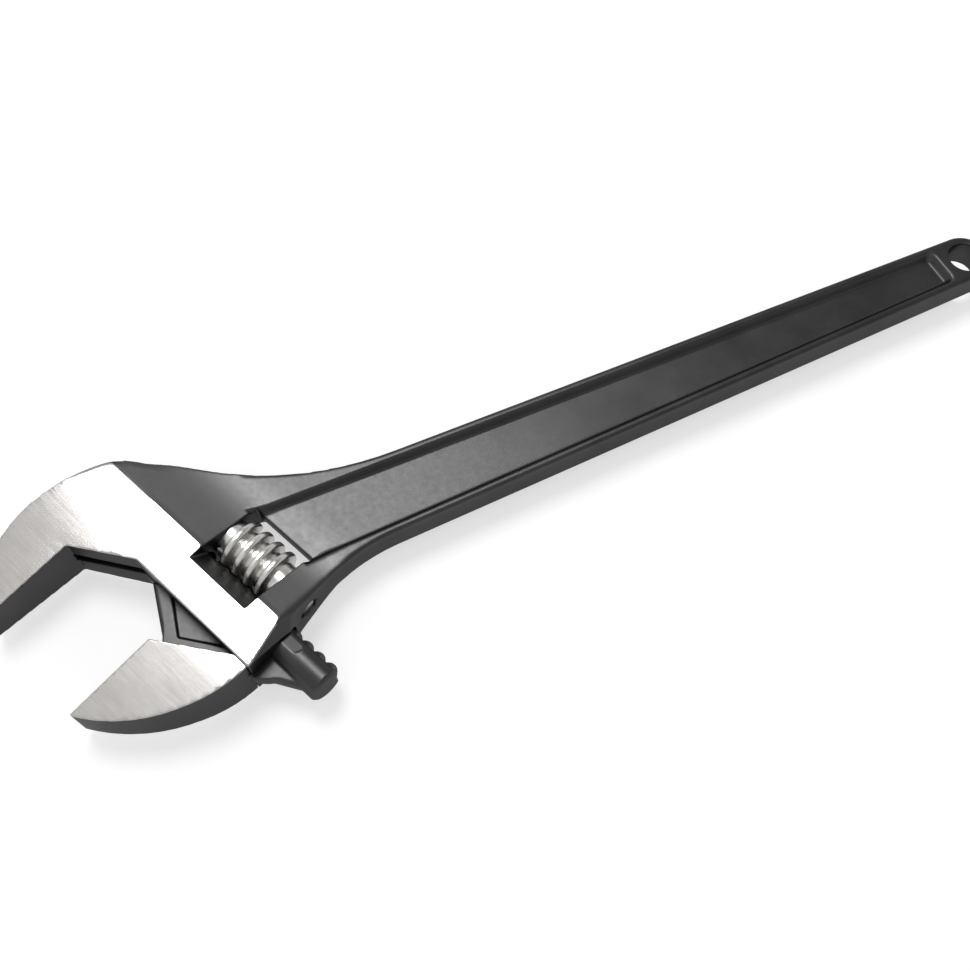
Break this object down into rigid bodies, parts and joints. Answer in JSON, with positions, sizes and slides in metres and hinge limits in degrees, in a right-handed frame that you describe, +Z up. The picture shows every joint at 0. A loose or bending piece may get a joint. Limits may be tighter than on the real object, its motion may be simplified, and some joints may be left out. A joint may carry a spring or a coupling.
{
  "type": "adjustable wrench",
  "caption": "Heavy adjustable wrench with a forged panelled handle, hang hole and a sliding jaw driven by a thumb screw.",
  "frame": {"origin": "middle of the underside of the part's box, lying flat with the jaws fully open", "axes": "+X along the handle from the jaws to the hang hole, +Z up through the thickness, +Y towards the fixed jaw's side"},
  "size_m": [0.4576, 0.1224, 0.0256],
  "materials": {
    "forged_black": "black oxide over a forged surface, with ground bright faces on the head",
    "jaw_black": "black oxide over a forged surface, with ground bright faces on the jaw",
    "knurl_steel": "bright turned steel",
    "pin_steel": "turned steel",
    "spring_steel": "drawn spring wire"
  },
  "bodies": {
    "handle": {"body": "forged_black", "knurl_pin": "pin_steel", "knurl_spring": "spring_steel"},
    "jaw": {"movable_jaw": "jaw_black"},
    "screw": {"knurl": "knurl_steel"}
  },
  "joints": [
    {"name": "jaw_slide", "type": "slide", "parent": "handle", "child": "jaw", "axis": [-0.3827, 0.9239, 0], "range_m": [0, 0.0522]},
    {"name": "knurl_spin", "type": "hinge", "parent": "handle", "child": "screw", "pos_m": [-0.127, -0.00058, 0.0128], "axis": [0.3827, -0.9239, 0], "range_deg": [0, 2960]}
  ],
  "couplings": [
    {"joint": "knurl_spin", "follows": "jaw_slide", "rad_per_m": 989.48}
  ]
}
